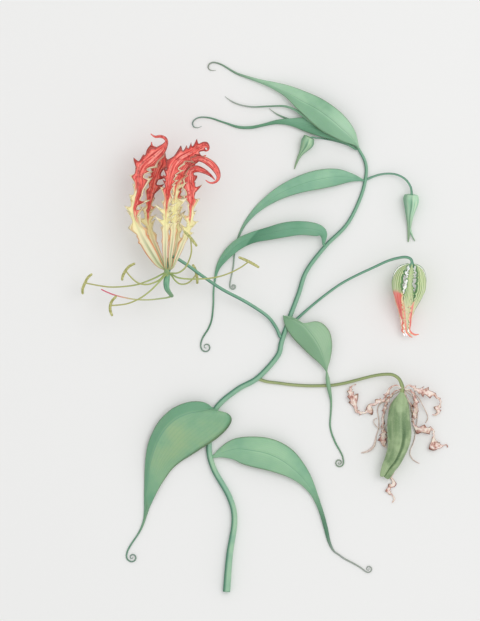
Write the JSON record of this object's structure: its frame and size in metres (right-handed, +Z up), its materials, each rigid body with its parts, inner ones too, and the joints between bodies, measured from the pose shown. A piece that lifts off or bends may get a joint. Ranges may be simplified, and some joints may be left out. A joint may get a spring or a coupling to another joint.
{
  "type": "cut glory lily shoot",
  "caption": "Cut climbing shoot with a reflexed frilled flower, hanging buds, a seed pod in withered tepals, and leaves drawn out into coiled tendrils, lying on a surface.",
  "frame": {"origin": "middle of the shoot's bounding box, on the surface that it lies on", "axes": "+Y from the cut end towards the growing tip, +X to the side of the buds and the pod, +Z up from the surface"},
  "size_m": [0.2195, 0.3182, 0.0465],
  "materials": {
    "stem": "satin",
    "leaf": "satin",
    "dark_leaf": "satin",
    "tepal": "satin",
    "filament": "satin",
    "ovary": "satin",
    "bud": "satin",
    "segment": "satin",
    "pod": "satin",
    "withered": "matte"
  },
  "bodies": {
    "root": {"stem": "stem", "leaf_lower_left": "leaf", "leaf_lower_right": "leaf", "leaf_fork": "leaf", "leaf_side_upper": "leaf", "leaf_top_front": "leaf", "leaf_top_narrow": "leaf", "leaf_top_young": "leaf", "leaf_side_lower": "dark_leaf", "leaf_top_back": "dark_leaf", "tepal_1": "tepal", "tepal_2": "tepal", "tepal_3": "tepal", "tepal_4": "tepal", "tepal_5": "tepal", "tepal_6": "tepal", "stamen_1": "filament", "stamen_2": "filament", "stamen_3": "filament", "stamen_4": "filament", "stamen_5": "filament", "stamen_6": "filament", "ovary": "ovary", "bud": "bud", "tip_bud": "bud", "opening_bud_pistil": "bud", "opening_bud_segment_1": "segment", "opening_bud_segment_2": "segment", "opening_bud_segment_3": "segment", "opening_bud_segment_4": "segment", "opening_bud_segment_5": "segment", "opening_bud_segment_6": "segment", "pod": "pod", "withered_tepal_1": "withered", "withered_tepal_2": "withered", "withered_tepal_3": "withered", "withered_tepal_4": "withered", "withered_tepal_5": "withered", "withered_tepal_6": "withered", "withered_filament_1": "withered", "withered_filament_2": "withered", "withered_filament_3": "withered", "withered_filament_4": "withered"}
  },
  "joints": []
}
